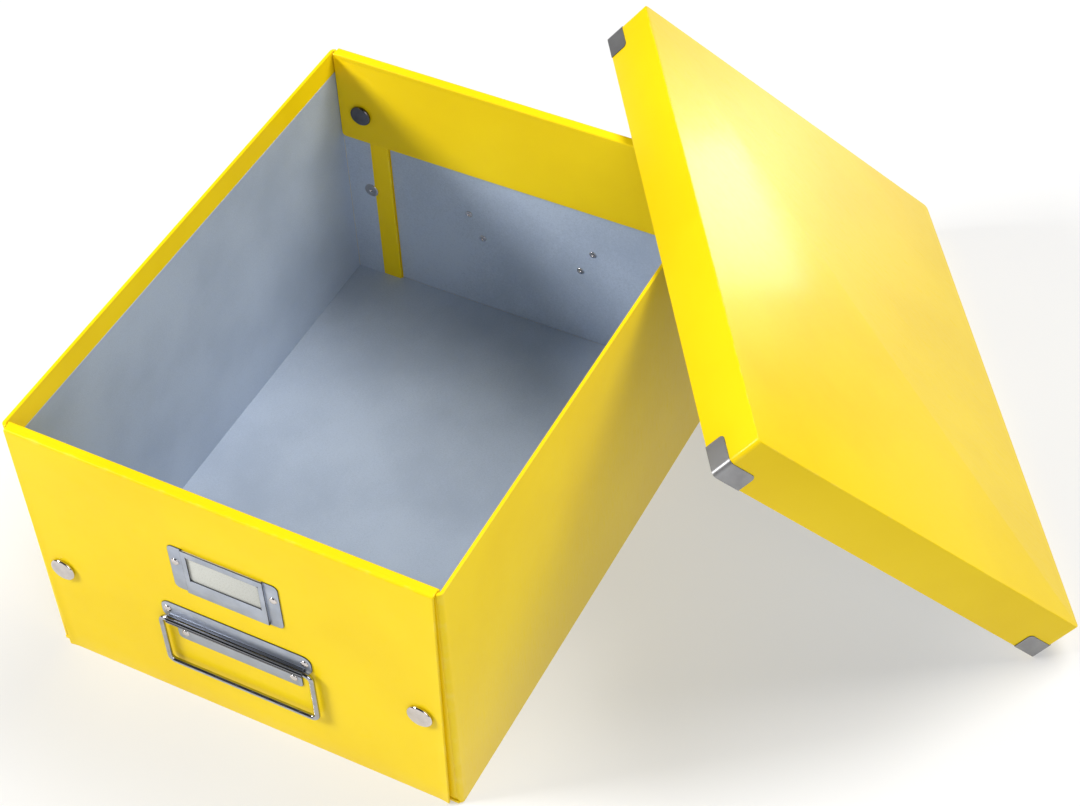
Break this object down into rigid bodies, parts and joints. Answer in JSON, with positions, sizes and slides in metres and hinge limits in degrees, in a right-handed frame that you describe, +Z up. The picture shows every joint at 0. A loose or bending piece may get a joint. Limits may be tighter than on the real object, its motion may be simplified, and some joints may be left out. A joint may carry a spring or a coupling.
{
  "type": "storage box",
  "caption": "Snap-together laminated board storage box with a lift-off lid, folding end flaps, wire bail handles and a label holder; the lid leans on one corner.",
  "frame": {"origin": "middle of the box's underside, where it stands", "axes": "+Z up, the label holder's end faces -Y, the leaning lid is on the +X side"},
  "size_m": [0.5497, 0.5607, 0.2239],
  "materials": {
    "yellow_board": "grey board wrapped in glossy laminated yellow paper",
    "grey_lining": "smooth pale blue-grey lining paper",
    "chrome_cap": "polished chrome-plated snap caps and studs",
    "plated_steel": "satin nickel-plated steel",
    "label_card": "plain cream card"
  },
  "bodies": {
    "box": {"back_handle_plate": "plated_steel", "back_handle_rivets": "plated_steel", "back_left_corner_flap": "yellow_board", "back_outer_snap_caps": "chrome_cap", "back_panel": "yellow_board", "back_panel_lining": "grey_lining", "back_right_corner_flap": "yellow_board", "back_top_strip": "yellow_board", "base_lining": "grey_lining", "base_panel": "yellow_board", "corner_flap_linings": "grey_lining", "front_handle_plate": "plated_steel", "front_handle_rivets": "plated_steel", "front_label_rivets": "plated_steel", "front_left_corner_flap": "yellow_board", "front_outer_snap_caps": "chrome_cap", "front_panel": "yellow_board", "front_panel_lining": "grey_lining", "front_right_corner_flap": "yellow_board", "front_top_strip": "yellow_board", "inner_snap_studs": "chrome_cap", "label_holder": "plated_steel", "left_wall": "yellow_board", "left_wall_lining": "grey_lining", "outer_snap_studs": "chrome_cap", "right_wall": "yellow_board", "right_wall_lining": "grey_lining"},
    "front_flap": {"front_top_flap": "yellow_board", "front_inner_snap_caps": "chrome_cap"},
    "back_flap": {"back_top_flap": "yellow_board", "back_inner_snap_caps": "chrome_cap"},
    "front_bail": {"front_bail": "plated_steel"},
    "back_bail": {"back_bail": "plated_steel"},
    "label_card": {"label_card": "label_card"},
    "lid": {"lid_back_skirt": "yellow_board", "lid_corner_irons": "plated_steel", "lid_front_skirt": "yellow_board", "lid_lining": "grey_lining", "lid_lower_skirt": "yellow_board", "lid_top": "yellow_board", "lid_upper_skirt": "yellow_board"}
  },
  "joints": [
    {"name": "front_flap_fold", "type": "hinge", "parent": "box", "child": "front_flap", "pos_m": [0, -0.1748, 0.19], "axis": [1, 0, 0], "range_deg": [0, 180]},
    {"name": "back_flap_fold", "type": "hinge", "parent": "box", "child": "back_flap", "pos_m": [0, 0.1748, 0.19], "axis": [-1, 0, 0], "range_deg": [0, 70]},
    {"name": "front_bail_swing", "type": "hinge", "parent": "box", "child": "front_bail", "pos_m": [0, -0.1841, 0.0765], "axis": [-1, 0, 0], "range_deg": [-1.5, 175]},
    {"name": "back_bail_swing", "type": "hinge", "parent": "box", "child": "back_bail", "pos_m": [0, 0.1841, 0.0765], "axis": [1, 0, 0], "range_deg": [-1.5, 175]},
    {"name": "label_card_slide", "type": "slide", "parent": "box", "child": "label_card", "axis": [0, 0, 1], "range_m": [0, 0.034]},
    {"name": "lid_lift", "type": "slide", "parent": "box", "child": "lid", "axis": [0, 0, 1], "range_m": [0, 0.3]}
  ]
}
